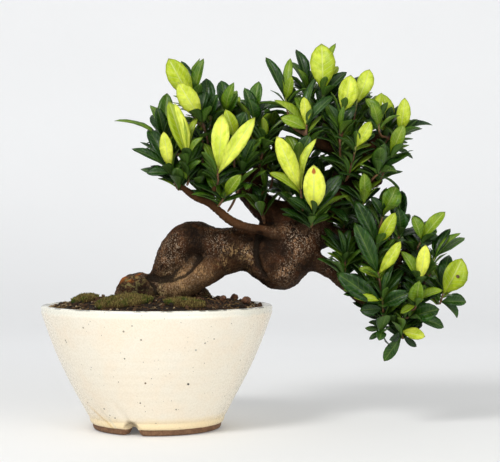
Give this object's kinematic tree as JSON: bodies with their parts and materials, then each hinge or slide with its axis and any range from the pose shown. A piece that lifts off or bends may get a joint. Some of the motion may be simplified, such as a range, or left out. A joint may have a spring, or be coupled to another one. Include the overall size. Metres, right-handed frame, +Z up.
{
  "type": "potted bonsai tree",
  "caption": "Small bonsai tree with a thick bent trunk that leans out over one side of a round, cream glazed bowl pot.",
  "frame": {"origin": "on the table, under the middle of the bounding box; the pot's axis lies 62 mm to the -X side of it", "axes": "+Z up; the tree leans out towards +X; its front, the side it is shown from, faces -Y"},
  "size_m": [0.2742, 0.15, 0.249],
  "materials": {
    "glaze": "glossy speckled glaze over bare clay foot",
    "black_plastic": "matte",
    "clip_wire": "dull",
    "soil": "loose and damp",
    "bark": "rough, mottled bark",
    "foliage": "waxy, half-gloss",
    "moss": "soft",
    "fired_clay": "rough, unglazed"
  },
  "bodies": {
    "root": {"drainage_mesh": "black_plastic", "mesh_clip": "clip_wire", "moss_front": "moss", "moss_front_left": "moss", "moss_left": "moss", "pot": "glaze", "shoot_cascade_01": "foliage", "shoot_cascade_02": "foliage", "shoot_cascade_04": "foliage", "shoot_cascade_06": "foliage", "shoot_cascade_08": "foliage", "shoot_cascade_09": "foliage", "shoot_cascade_11": "foliage", "shoot_cascade_12": "foliage", "shoot_cascade_13": "foliage", "shoot_cascade_14": "foliage", "shoot_cascade_15": "foliage", "shoot_cascade_16": "foliage", "shoot_cascade_17": "foliage", "shoot_cascade_18": "foliage", "shoot_cascade_19": "foliage", "shoot_cascade_20": "foliage", "shoot_cascade_21": "foliage", "shoot_front_01": "foliage", "shoot_front_02": "foliage", "shoot_left_01": "foliage", "shoot_left_02": "foliage", "shoot_left_03": "foliage", "shoot_left_06": "foliage", "shoot_left_08": "foliage", "shoot_left_09": "foliage", "shoot_left_11": "foliage", "shoot_left_12": "foliage", "shoot_left_13": "foliage", "shoot_left_14": "foliage", "shoot_left_15": "foliage", "shoot_left_18": "foliage", "shoot_left_19": "foliage", "shoot_left_20": "foliage", "shoot_middle_01": "foliage", "shoot_middle_03": "foliage", "shoot_middle_04": "foliage", "shoot_right_03": "foliage", "shoot_right_05": "foliage", "shoot_right_07": "foliage", "shoot_right_09": "foliage", "shoot_right_10": "foliage", "shoot_right_11": "foliage", "shoot_right_12": "foliage", "shoot_right_13": "foliage", "shoot_right_14": "foliage", "shoot_right_17": "foliage", "shoot_right_18": "foliage", "shoot_right_19": "foliage", "shoot_right_20": "foliage", "soil": "soil", "surface_stone_1": "fired_clay", "surface_stone_2": "fired_clay", "surface_stone_3": "fired_clay", "trunk_and_branches": "bark"}
  },
  "joints": []
}
